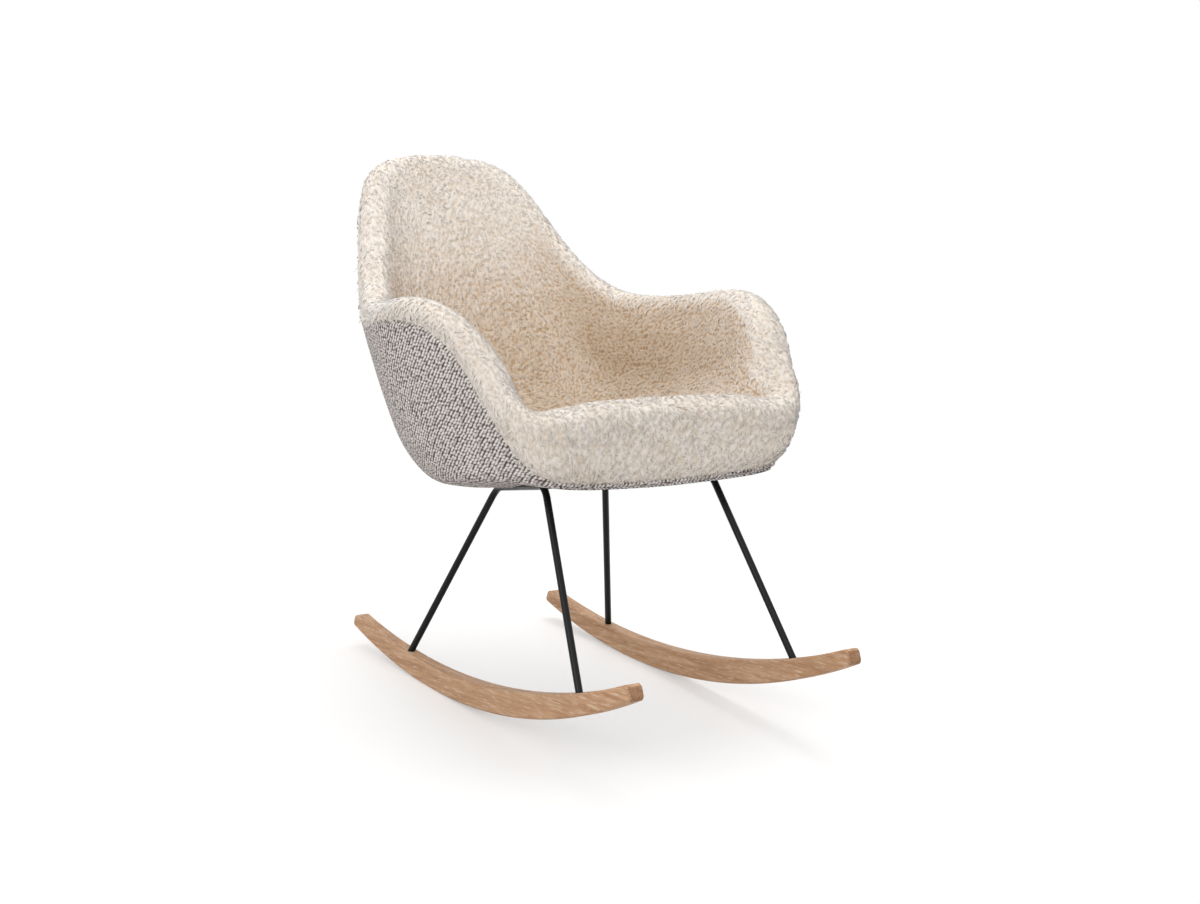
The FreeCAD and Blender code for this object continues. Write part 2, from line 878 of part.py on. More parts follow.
def make_rocker(side, sign):
    """One oak rocker with blind sockets for the feet of its rod."""
    body = doc.addObject("PartDesign::Body", f"{side}_rocker_blank")
    sketch = rocker_sketch(body, side)
    blank = body.newObject("PartDesign::Pad", f"{side}_rocker_pad")
    blank.Profile = sketch
    blank.Midplane = True
    bind(blank, Length="sizes.rocker_thickness")
    doc.recompute()
    ends = body.newObject("PartDesign::Fillet", f"{side}_rocker_ends")
    ends.Base = (blank, edges_along_x(blank.Shape))
    bind(ends, Radius="sizes.rocker_end_radius")
    doc.recompute()
    rims = [
        f"Edge{number}"
        for number, edge in enumerate(ends.Shape.Edges, start=1)
        if edge.BoundBox.XLength < size("rocker_thickness") / 2
    ]
    eased = body.newObject("PartDesign::Chamfer", f"{side}_rocker_eased")
    eased.Base = (ends, rims)
    bind(eased, Size="sizes.rocker_edge_chamfer")
    body.Tip = eased
    bind(body, Placement__Base__x=f"sizes.rocker_half_spacing * {sign}")
    tools = []
    for end in ENDS:
        foot, up = leg_line(sign, end)
        tools.append(
            cylinder(
                f"{side}_{end}_socket",
                "sizes.rod_diameter / 2 + sizes.socket_clearance",
                "2 * sizes.socket_depth",
                along(foot - up * size("socket_depth"), up),
            )
        )
    finish(cut(f"{side}_rocker_body", body, fuse(f"{side}_rocker_sockets", tools)), f"{side}_rocker")


def lean_back():
    """Roll the chair back on its soles until its weight stands over the line of contact."""
    axle = Vector(0, 0, size("rocker_sole_radius"))
    lean = Rotation(Vector(1, 0, 0), -size("rest_lean"))
    for thing in finished:
        thing.Placement = Placement(Vector(), lean, axle)


def check_and_export():
    """Stop on any failed object, then write each finished piece to its own file."""
    lean_back()
    doc.recompute()
    for thing in doc.Objects:
        if "Invalid" in thing.State or "Error" in thing.State:
            raise RuntimeError(f"{thing.Label} failed: {thing.State}")
    for thing in finished:
        if thing.Shape.isNull() or not thing.Shape.isValid():
            raise RuntimeError(f"{thing.Label} has no valid shape")
    os.makedirs("parts", exist_ok=True)
    for thing in finished:
        thing.Shape.exportStep(f"parts/{thing.Label}.step")


fill_sheet()
make_upholstery()
make_fixings()
for side_name, side_sign in SIDES.items():
    make_rod(side_name, side_sign)
    make_rocker(side_name, side_sign)
for end_name in ENDS:
    make_cross_bar(end_name)
check_and_export()
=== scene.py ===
import math

import bmesh
import bpy
import numpy as np
from mathutils import Matrix, Vector
from mathutils.bvhtree import BVHTree
from mathutils.kdtree import KDTree


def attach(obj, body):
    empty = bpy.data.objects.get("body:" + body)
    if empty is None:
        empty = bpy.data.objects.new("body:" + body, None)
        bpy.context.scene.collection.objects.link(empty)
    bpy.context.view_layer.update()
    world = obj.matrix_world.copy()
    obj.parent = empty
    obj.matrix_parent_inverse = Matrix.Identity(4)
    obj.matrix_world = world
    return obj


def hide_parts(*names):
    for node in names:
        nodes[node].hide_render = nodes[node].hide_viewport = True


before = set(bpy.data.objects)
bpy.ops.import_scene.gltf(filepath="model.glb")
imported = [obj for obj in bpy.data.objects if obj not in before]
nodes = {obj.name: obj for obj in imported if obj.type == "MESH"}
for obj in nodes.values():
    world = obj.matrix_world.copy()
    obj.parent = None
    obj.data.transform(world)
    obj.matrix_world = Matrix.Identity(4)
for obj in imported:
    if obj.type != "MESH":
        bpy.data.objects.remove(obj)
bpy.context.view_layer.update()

scene = bpy.context.scene

# The circle that the soles of the rockers follow, and how far the chair at rest is rolled back on it
AXLE_HEIGHT = 1.164
REST_LEAN = math.radians(4.596)
OAK_SLOPE = REST_LEAN + math.radians(1.5)

# The camera beside the chair, before that roll
CAMERA_PLACE = (-1.60124, -2.51103, 0.73702)
CAMERA_FORWARD = (0.548, 0.8279, -0.1193)
CAMERA_RIGHT = (0.8339, -0.5519, 0.0)
CAMERA_LENS = 56.36
CAMERA_SENSOR = 36

# Reading the covers from the CAD nodes, in metres
CREASE = math.radians(60)
WELD = 2e-5
COLUMNS = 576
LEAST_SPACING = 0.0022
BACKING_STEP = 8
BACKING_COLUMNS = 72
BACK_MAP = (1.0, 0.92)
FACE_MAP = (0.9, 0.0)

# The padding: how far it presses the cover out, and how it fills creases
SWELL_CAP = 0.004
SWELL_COLUMNS = 144
SWELL_ROWS = 44
SWELL_FRAMES = 20
CREASE_PASSES = 60
CREASE_FILL = 0.006

# The cream cover and its tufts
PILE_ROWS = 230
PILE_SINK = 0.0035
PILE_BACKING = 0.012
PILE_TUCK = 0.004
PILE_TRIES = 130000
TUFT_SPACING = 0.0047
TUFT_RISE = 0.0022
TUFT_SIZES = (0.6, 1.0)

# The strands, each a bent taper that lies downhill, straighter and longer on the rolled rim
FULL_ROLL = 30.0
PILE_LEAN = (0.0, -0.35, -1.0)
CURL_PIECES = 4
CURL_SECTIONS = 4
CURL_SIDES = 3
CURL_SOFTNESS = 0.86
CURL_LENGTH = (0.0042, 0.0074)
CURL_RISE = (0.0010, 0.0024)
CURL_BEND = 0.0024
CURL_WIDTH = (0.0014, 0.0022)
CURL_SINK = 0.0012
CURL_TAPER = 0.72
CURL_TURN = 1.3

# Painted shade on the pile: tan where the bucket hides the sky, and most in the hollow of the seat
HOLLOW = (0.0, 0.09, 0.47)
HOLLOW_REACH = 0.17
HOLLOW_SHADE = 0.36
SHELTER_RAYS = 24
SHELTER_REACH = 0.9
SHELTER_SPREAD = 0.98

# The grey cover, its nubs and the grains of its weave
WEAVE_ROWS = 170
WEAVE_SINK = 0.0014
WEAVE_BACKING = 0.0025
WEAVE_TUCK = 0.006
SEAM_SINK = 0.0035
NUB_SPACING = 0.0055
NUB_TRIES = 70000
NUB_REACH = 0.0045
NUB_RISE = 0.0007
WEAVE_LEVEL = 50
WEAVE_GRAIN = (0.0068, 0.0051)
WEAVE_SLANT = 0.72
WEAVE_UNDERSIDE = -0.75

# The room: a floor that fades to white, and lights by name, place, size and power
FLOOR_REACH = 12.0
FLOOR_FADE = (0.6, 1.25)
FLOOR_LIFT = 0.36
ROOM_LEVEL = 0.75
LIGHT_TARGET = (0.0, 0.0, 0.4)
LIGHTS = (
    ("overhead", (0.5, 0.7, 2.8), 2.2, 40),
    ("left_fill", (-2.7, -1.1, 1.7), 1.8, 28),
    ("front_fill", (-0.6, -3.2, 2.0), 3.0, 19),
)


def srgb(red, green, blue):
    """A linear colour from the eight-bit values that a screen shows."""
    shares = [value / 255 for value in (red, green, blue)]
    linear = [s / 12.92 if s <= 0.04045 else ((s + 0.055) / 1.055) ** 2.4 for s in shares]
    return (*linear, 1.0)


# Materials


class Surface:
    """A material on one Principled shader, with values that are even all over set on its sockets."""

    def __init__(self, name, sockets):
        self.material = bpy.data.materials.new(name)
        self.material.use_nodes = True
        self.tree = self.material.node_tree
        self.shader = self.tree.nodes["Principled BSDF"]
        for socket, value in sockets.items():
            self.set(self.shader, socket, value)

    def set(self, node, socket, value):
        if isinstance(value, bpy.types.NodeSocket):
            self.tree.links.new(value, node.inputs[socket])
        else:
            node.inputs[socket].default_value = value

    def add(self, kind, inputs, **settings):
        node = self.tree.nodes.new(kind)
        for setting, value in settings.items():
            setattr(node, setting, value)
        for socket, value in inputs.items():
            self.set(node, socket, value)
        return node

    def place(self):
        return self.add("ShaderNodeTexCoord", {}).outputs["Object"]

    def math(self, operation, *values):
        return self.add("ShaderNodeMath", dict(enumerate(values)), operation=operation).outputs[0]

    def stretched(self, vector, scale, slope=0.0):
        inputs = {"Vector": vector, "Scale": scale, "Rotation": (slope, 0, 0)}
        return self.add("ShaderNodeMapping", inputs).outputs[0]

    def noise(self, vector, scale, detail=3.0, roughness=0.5, distortion=0.0):
        inputs = {
            "Vector": vector,
            "Scale": scale,
            "Detail": detail,
            "Roughness": roughness,
            "Distortion": distortion,
        }
        return self.add("ShaderNodeTexNoise", inputs).outputs[0]

    def ramp(self, value, *stops):
        node = self.add("ShaderNodeValToRGB", {"Fac": value})
        elements = node.color_ramp.elements
        while len(elements) < len(stops):
            elements.new(0.5)
        for element, (position, colour) in zip(elements, stops):
            element.position = position
            element.color = colour
        return node.outputs["Color"]

    def mix(self, factor, first, second, blend="MIX"):
        inputs = {0: factor, 6: first, 7: second}
        settings = {"data_type": "RGBA", "blend_type": blend}
        return self.add("ShaderNodeMix", inputs, **settings).outputs[2]

    def bump(self, height, strength, distance):
        inputs = {"Height": height, "Strength": strength, "Distance": distance}
        return self.add("ShaderNodeBump", inputs).outputs[0]


def grey(level):
    return (level, level, level, 1.0)


def cream_pile(name):
    """Cream pile: beige between tufts, pale at tips; painted shade in hollows, painted highlight on rims."""
    surface = Surface(name, {"Roughness": 0.92, "Specular IOR Level": 0.15})
    surface.set(surface.shader, "Sheen Weight", 0.25)
    surface.set(surface.shader, "Sheen Roughness", 0.5)
    pile = surface.add("ShaderNodeAttribute", {}, attribute_name="pile")
    tip, tuft, air = surface.add("ShaderNodeSeparateColor", {"Color": pile.outputs["Color"]}).outputs
    place = surface.place()
    fibres = surface.noise(place, 900.0, detail=4.0, roughness=0.65)
    height = surface.math("MULTIPLY_ADD", surface.math("SUBTRACT", fibres, 0.5), 0.35, tip)
    colour = surface.ramp(
        height,
        (0.0, srgb(190, 161, 126)),
        (0.3, srgb(215, 200, 183)),
        (0.6, srgb(231, 224, 217)),
        (1.0, srgb(242, 239, 236)),
    )
    # Painted highlight: the open rims are mixed towards a paler cream
    rim = surface.ramp(air, (0.58, grey(0.0)), (0.92, grey(0.48)))
    colour = surface.mix(rim, colour, srgb(233, 226, 218))
    # Painted shade: tan where the bucket hides the sky, going to white where the pile lies open
    painted_shade = surface.ramp(
        air,
        (0.06, srgb(192, 168, 140)),
        (0.3, srgb(228, 216, 201)),
        (0.52, srgb(240, 232, 223)),
        (0.8, srgb(255, 255, 255)),
    )
    colour = surface.mix(1.0, colour, painted_shade, "MULTIPLY")
    tone = surface.ramp(tuft, (0.0, grey(0.9)), (1.0, grey(1.0)))
    cloud = surface.noise(place, 14.0, detail=2.0)
    drift = surface.ramp(cloud, (0.3, srgb(250, 248, 245)), (0.7, srgb(255, 255, 255)))
    colour = surface.mix(1.0, colour, tone, "MULTIPLY")
    colour = surface.mix(1.0, colour, drift, "MULTIPLY")
    surface.set(surface.shader, "Base Color", colour)
    surface.set(surface.shader, "Normal", surface.bump(fibres, 0.45, 0.0012))
    return surface.material


def grey_weave():
    """Grey boucle: pale grains in slanting rows, with dark gaps between them."""
    surface = Surface("grey_weave", {"Roughness": 0.9, "Specular IOR Level": 0.2})
    surface.set(surface.shader, "Sheen Weight", 0.1)
    surface.set(surface.shader, "Sheen Roughness", 0.5)
    cloth = surface.add("ShaderNodeUVMap", {}, uv_map="weave").outputs[0]
    place = surface.place()
    wander = surface.noise(place, 60.0, detail=2.0)
    sway = surface.add("ShaderNodeVectorMath", {0: wander, 1: (0.004, 0.004, 0.0)}, operation="MULTIPLY")
    moved = surface.add("ShaderNodeVectorMath", {0: cloth, 1: sway.outputs[0]}, operation="ADD")
    grid = surface.stretched(moved.outputs[0], (1 / WEAVE_GRAIN[0], 1 / WEAVE_GRAIN[1], 1.0))
    inputs = {"Vector": grid, "Scale": 1.0, "Randomness": 0.6}
    cells = surface.add("ShaderNodeTexVoronoi", inputs, voronoi_dimensions="2D", feature="F1")
    column = surface.add("ShaderNodeSeparateXYZ", {"Vector": grid}).outputs["X"]
    wave = surface.math("COSINE", surface.math("MULTIPLY_ADD", column, 2 * math.pi, -0.5 * math.pi))
    rows = surface.math("MULTIPLY_ADD", wave, 0.14, 1.0)
    grain = surface.math("SUBTRACT", rows, cells.outputs["Distance"])
    shade = surface.add("ShaderNodeSeparateColor", {"Color": cells.outputs["Color"]})
    fibres = surface.noise(place, 1400.0, detail=3.0, roughness=0.6)
    level = surface.math("MULTIPLY_ADD", surface.math("SUBTRACT", fibres, 0.5), 0.3, grain)
    colour = surface.ramp(
        level,
        (0.3, srgb(80, 73, 70)),
        (0.52, srgb(163, 153, 150)),
        (0.78, srgb(223, 216, 212)),
    )
    tone = surface.ramp(shade.outputs[0], (0.0, grey(0.66)), (0.4, grey(0.95)), (1.0, grey(1.0)))
    surface.set(surface.shader, "Base Color", surface.mix(1.0, colour, tone, "MULTIPLY"))
    surface.set(surface.shader, "Normal", surface.bump(level, 0.6, 0.0015))
    return surface.material


def pale_oak():
    """Limed oak: straight grain along the board, with pale lime in the pores and darker ends."""
    surface = Surface("limed_oak", {"Specular IOR Level": 0.3})
    place = surface.place()
    plank = surface.stretched(place, (1.0, 1.0, 1.0), OAK_SLOPE)
    bands = surface.noise(surface.stretched(plank, (1.0, 0.06, 1.0)), 130.0, 3.0, 0.55, 0.6)
    streaks = surface.noise(surface.stretched(plank, (1.0, 0.07, 1.0)), 520.0, 2.0, 0.5, 0.4)
    pores = surface.noise(surface.stretched(plank, (1.0, 0.05, 1.0)), 1100.0, 2.0, 0.5)
    colour = surface.ramp(
        bands,
        (0.32, srgb(168, 125, 91)),
        (0.5, srgb(186, 145, 110)),
        (0.68, srgb(200, 162, 129)),
    )
    lime = surface.ramp(streaks, (0.54, grey(0.0)), (0.68, grey(0.5)))
    colour = surface.mix(lime, colour, srgb(226, 206, 184))
    facing = surface.add("ShaderNodeNewGeometry", {}).outputs["Normal"]
    endwise = surface.add("ShaderNodeSeparateXYZ", {"Vector": facing}).outputs["Y"]
    ends = surface.ramp(surface.math("ABSOLUTE", endwise), (0.5, grey(1.0)), (0.8, srgb(206, 196, 188)))
    colour = surface.mix(1.0, colour, ends, "MULTIPLY")
    gaps = surface.ramp(pores, (0.3, grey(0.74)), (0.42, grey(1.0)))
    surface.set(surface.shader, "Base Color", surface.mix(1.0, colour, gaps, "MULTIPLY"))
    surface.set(surface.shader, "Roughness", surface.ramp(streaks, (0.2, grey(0.5)), (0.8, grey(0.66))))
    surface.set(surface.shader, "Normal", surface.bump(pores, 0.25, 0.0005))
    return surface.material


def speckled(name, dark, light, scale, sockets, rough=(0.4, 0.6), relief=0.15):
    """A plain finish with the fine unevenness of powder coat, moulded plastic, rubber or plating."""
    surface = Surface(name, sockets)
    place = surface.place()
    grain = surface.noise(place, scale, 2.0)
    cloud = surface.noise(place, scale / 30, 2.0)
    surface.set(surface.shader, "Base Color", surface.ramp(cloud, (0.3, dark), (0.7, light)))
    gloss = surface.ramp(cloud, (0.3, grey(rough[0])), (0.7, grey(rough[1])))
    surface.set(surface.shader, "Roughness", gloss)
    surface.set(surface.shader, "Normal", surface.bump(grain, relief, 0.0004))
    return surface.material


# Surfaces made from rings of points


def face_rings(node, highest):
    """The rings of points on the open face of a cover, from the seam to the middle."""
    shape = bmesh.new()
    shape.from_mesh(nodes[node].data)
    bmesh.ops.remove_doubles(shape, verts=shape.verts, dist=WELD)
    shape.normal_update()
    start = max(shape.faces, key=lambda f: f.calc_center_median().z * (1 if highest else -1))
    face = {start}
    waiting = [start]
    while waiting:
        for edge in waiting.pop().edges:
            if edge.calc_face_angle(math.pi) > CREASE:
                continue
            found = [f for f in edge.link_faces if f not in face]
            face.update(found)
            waiting.extend(found)
    edge_of_face = [e for f in face for e in f.edges if sum(g in face for g in e.link_faces) == 1]
    ends = {v for e in edge_of_face for v in e.verts}
    loop = highest_loop(edge_of_face, ends)
    rings = []
    seen = set(loop)
    while len(loop) == len(seen) / (len(rings) + 1):
        rings.append(ring_in_order(loop))
        near = {e.other_vert(v) for v in loop for e in v.link_edges if any(f in face for f in e.link_faces)}
        loop = near - seen
        seen |= loop
    shape.free()
    return np.array(rings)


def highest_loop(edges, ends):
    """The points of the loop that reaches highest, of the loops that some edges make."""
    left = set(ends)
    loops = []
    chosen = set(edges)
    while left:
        loop = set()
        waiting = [left.pop()]
        while waiting:
            vert = waiting.pop()
            loop.add(vert)
            for edge in vert.link_edges:
                other = edge.other_vert(vert)
                if edge in chosen and other in left:
                    left.discard(other)
                    waiting.append(other)
        loops.append(loop)
    return max(loops, key=lambda found: max(v.co.z for v in found))


def ring_in_order(verts):
    """Points in order round the seat, from the middle of the front towards the sitter's left."""
    points = np.array([v.co for v in verts])
    centre = (points.min(0) + points.max(0)) / 2
    turns = np.arctan2(points[:, 0] - centre[0], centre[1] - points[:, 1])
    return points[np.argsort(np.where(turns < -1e-3, turns + 2 * np.pi, turns))]


def along_rows(points, knots, at):
    """A smooth surface through rows of points, read at other places between the rows."""
    knots = np.asarray(knots, float)
    steps = np.diff(knots)
    shape = (-1,) + (1,) * (points.ndim - 1)
    slopes = np.diff(points, axis=0) / steps.reshape(shape)
    before = steps[:-1].reshape(shape)
    after = steps[1:].reshape(shape)
    middle = (slopes[:-1] * after + slopes[1:] * before) / (before + after)
    first = 1.5 * slopes[:1] - 0.5 * middle[:1]
    last = 1.5 * slopes[-1:] - 0.5 * middle[-1:]
    tangents = np.concatenate([first, middle, last])
    index = np.clip(np.searchsorted(knots, at, side="right") - 1, 0, len(steps) - 1)
    step = steps[index].reshape(shape)
    share = ((at - knots[index]) / steps[index]).reshape(shape)
    squared = share**2
    cubed = share**3
    return (
        (2 * cubed - 3 * squared + 1) * points[index]
        + (cubed - 2 * squared + share) * step * tangents[index]
        + (3 * squared - 2 * cubed) * points[index + 1]
        + (cubed - squared) * step * tangents[index + 1]
    )


def around(rows, count):
    """Closed rows of points read at an even number of places round each row."""
    columns = np.swapaxes(rows, 0, 1)
    size = len(columns)
    wrapped = np.concatenate([columns[-2:], columns, columns[:3]])
    at = np.arange(count) * size / count
    return np.swapaxes(along_rows(wrapped, np.arange(-2, size + 3), at), 0, 1)


def row_lengths(rows):
    """How far each row lies from the first, along the surface, on average."""
    gaps = np.linalg.norm(np.diff(rows, axis=0), axis=2).mean(1)
    return np.concatenate([[0], np.cumsum(gaps)])


def resampled(rows, row_count, columns):
    """A grid of points over a surface that ends in one middle point."""
    knots = row_lengths(rows)
    fine = around(rows, columns)
    return along_rows(fine, knots, np.linspace(0, knots[-1], row_count))


def outward(grid, side):
    """The directions that stand straight up from a grid of points."""
    across = np.roll(grid, -1, 1) - np.roll(grid, 1, 1)
    along = np.gradient(grid, axis=0)
    normals = np.cross(across, along) * side
    lengths = np.linalg.norm(normals, axis=2, keepdims=True)
    normals = normals / np.maximum(lengths, 1e-12)
    normals[-1] = normals[-3].mean(0)
    normals[-2] = normals[-3].mean(0)
    return normals / np.linalg.norm(normals, axis=2, keepdims=True)


def ending_in_middle(rings):
    """The rings with a last row of one point, in the middle of the last ring."""
    middle = rings[-1].mean(0)
    return np.concatenate([rings, np.broadcast_to(middle, (1,) + rings[-1].shape)])


def ring_counts(grid):
    """How many points each row keeps, halved towards the middle so that the faces stay even."""
    lengths = np.linalg.norm(np.roll(grid, -1, 1) - grid, axis=2).sum(1)
    counts = []
    count = grid.shape[1]
    for length in lengths[:-1]:
        if length / count < LEAST_SPACING and count % 2 == 0 and count > 12:
            count //= 2
        counts.append(count)
    return counts


def thinned(row, count):
    """Every so many points of a row, so that the count is left."""
    return row[:: len(row) // count]


def grid_faces(rows, columns):
    """The faces between the rows of a closed grid, as numbers of its points."""
    faces = []
    for row in range(rows - 1):
        low = row * columns
        high = low + columns
        for column in range(columns):
            after = (column + 1) % columns
            faces.append((low + column, low + after, high + after, high + column))
    return faces


def closed_skin(name, rings, middles, heights):
    """A closed mesh through rings of points, with a middle point at each end, and its map for baking."""
    starts = np.concatenate([[0], np.cumsum([len(ring) for ring in rings])])
    corners = []
    last = len(rings) - 1
    for j in range(len(rings[0])):
        corners.append(((0, j + 1), (0, j), (-1, j)))
    for k in range(last):
        n, m = len(rings[k]), len(rings[k + 1])
        for j in range(min(n, m)):
            if n == m:
                corners.append(((k, j), (k, j + 1), (k + 1, j + 1), (k + 1, j)))
            elif n > m:
                corners.append(((k, 2 * j), (k, 2 * j + 1), (k + 1, j)))
                corners.append(((k, 2 * j + 1), (k + 1, j + 1), (k + 1, j)))
                corners.append(((k, 2 * j + 1), (k, 2 * j + 2), (k + 1, j + 1)))
            else:
                corners.append(((k, j), (k + 1, 2 * j + 1), (k + 1, 2 * j)))
                corners.append(((k, j), (k, j + 1), (k + 1, 2 * j + 1)))
                corners.append(((k, j + 1), (k + 1, 2 * j + 2), (k + 1, 2 * j + 1)))
    for j in range(len(rings[last])):
        corners.append(((last, j), (last, j + 1), (last + 1, j)))

    def index(ring, place):
        if ring < 0:
            return int(starts[-1])
        if ring > last:
            return int(starts[-1]) + 1
        return int(starts[ring]) + place % len(rings[ring])

    def share(ring, place):
        return place / len(rings[min(max(ring, 0), last)])

    points = np.concatenate(list(rings) + [np.array(middles)])
    faces = [[index(*corner) for corner in face] for face in corners]
    heights = list(heights) + [1.0, 0.0]
    mesh = bpy.data.meshes.new(name)
    mesh.from_pydata(points.tolist(), [], faces)
    mesh.polygons.foreach_set("use_smooth", [True] * len(faces))
    flat = [(share(*corner), heights[corner[0]]) for face in corners for corner in face]
    bake = mesh.uv_layers.new(name="OFBake")
    bake.data.foreach_set("uv", np.array(flat).ravel())
    piece = bpy.data.objects.new(name, mesh)
    scene.collection.objects.link(piece)
    return piece


def swollen(rings):
    """The cover after its padding has pressed it out: cloth under pressure, held along the seam."""
    grid = resampled(rings, SWELL_ROWS, SWELL_COLUMNS)
    rows = list(grid[:-1])
    points = np.concatenate(rows + [grid[-1, :1]])
    count = SWELL_COLUMNS
    faces = grid_faces(len(rows), count)
    base = (len(rows) - 1) * count
    faces += [(base + j, base + (j + 1) % count, len(points) - 1) for j in range(count)]
    mesh = bpy.data.meshes.new("padding")
    mesh.from_pydata(points.tolist(), [], faces)
    padding = bpy.data.objects.new("padding", mesh)
    scene.collection.objects.link(padding)
    held = padding.vertex_groups.new(name="held")
    held.add(list(range(2 * count)), 1.0, "REPLACE")
    cloth = padding.modifiers.new("Cloth", "CLOTH")
    cloth.settings.quality = 4
    cloth.settings.mass = 0.4
    cloth.settings.tension_stiffness = 12
    cloth.settings.compression_stiffness = 12
    cloth.settings.use_pressure = True
    cloth.settings.uniform_pressure_force = 4
    cloth.settings.vertex_group_mass = "held"
    cloth.settings.effector_weights.gravity = 0
    cloth.point_cache.frame_start = 1
    cloth.point_cache.frame_end = SWELL_FRAMES
    for step in range(1, SWELL_FRAMES + 1):
        scene.frame_set(step)
    pressed = padding.evaluated_get(bpy.context.evaluated_depsgraph_get())
    moved = np.array([v.co for v in pressed.data.vertices]) - points
    scene.frame_set(1)
    bpy.data.objects.remove(padding)
    bpy.data.meshes.remove(mesh)
    far = np.linalg.norm(moved, axis=1, keepdims=True)
    moved *= np.minimum(1.0, SWELL_CAP / np.maximum(far, 1e-9))
    result = grid.copy()
    result[:-1] += moved[:-1].reshape(len(rows), count, 3)
    result[-1] += moved[-1]
    return result


# The pile


def read_at(field, rows, columns):
    """A field over a grid, read between its rows and columns."""
    values = field.reshape(field.shape[0], field.shape[1], -1)
    row = np.minimum(rows.astype(int), len(values) - 2)
    column = columns.astype(int) % values.shape[1]
    after = (column + 1) % values.shape[1]
    down = (rows - row)[:, None]
    right = (columns % 1.0)[:, None]
    near = values[row, column] * (1 - right) + values[row, after] * right
    far = values[row + 1, column] * (1 - right) + values[row + 1, after] * right
    return near * (1 - down) + far * down


def scattered(grid, spacing, tries, random):
    """Places spread evenly over a grid, as rows and columns, no two nearer than the spacing."""
    across = np.linalg.norm(np.roll(grid, -1, 1) - grid, axis=2)[:-1]
    along = np.linalg.norm(np.diff(grid, axis=0), axis=2)
    weights = (across * along).ravel()
    chosen = random.choice(len(weights), size=tries, p=weights / weights.sum())
    rows = chosen // grid.shape[1] + random.random(tries)
    columns = chosen % grid.shape[1] + random.random(tries)
    points = read_at(grid, rows, columns)
    cells = np.floor(points / spacing).astype(int).tolist()
    beside = [(a, b, c) for a in (-1, 0, 1) for b in (-1, 0, 1) for c in (-1, 0, 1)]
    limit = spacing**2
    taken = {}
    kept = []
    for number, ((x, y, z), (i, j, k)) in enumerate(zip(points.tolist(), cells)):
        near = (p for a, b, c in beside for p in taken.get((i + a, j + b, k + c), ()))
        if any((p[0] - x) ** 2 + (p[1] - y) ** 2 + (p[2] - z) ** 2 < limit for p in near):
            continue
        taken.setdefault((i, j, k), []).append((x, y, z))
        kept.append(number)
    return rows[kept], columns[kept]


def open_air(grid, random):
    """How free of the rest of the grid the space over each place is, from 0 to 1."""
    rows, columns = grid.shape[:2]
    points = [Vector(point) for point in grid.reshape(-1, 3)]
    tree = BVHTree.FromPolygons(points, grid_faces(rows, columns))
    turns = random.normal(size=(SHELTER_RAYS, 3))
    turns /= np.linalg.norm(turns, axis=1, keepdims=True)
    free = []
    for point, normal in zip(points, outward(grid, 1).reshape(-1, 3)):
        start = point + Vector(normal) * PILE_BACKING
        rays = [Vector(ray) for ray in normal + SHELTER_SPREAD * turns]
        hits = sum(tree.ray_cast(start, ray, SHELTER_REACH)[0] is not None for ray in rays)
        free.append(1.0 - hits / SHELTER_RAYS)
    return np.array(free).reshape(rows, columns, 1)


def combed(normals, random, spread):
    """Directions along a surface in which the pile lies: downhill and forward, with a random turn."""
    lean = np.array(PILE_LEAN)
    flow = lean - normals * (normals @ lean)[:, None]
    flow /= np.linalg.norm(flow, axis=1, keepdims=True)
    side = np.cross(normals, flow)
    turn = (random.normal(0.0, 1.0, len(normals)) * spread)[:, None]
    return flow * np.cos(turn) + side * np.sin(turn)


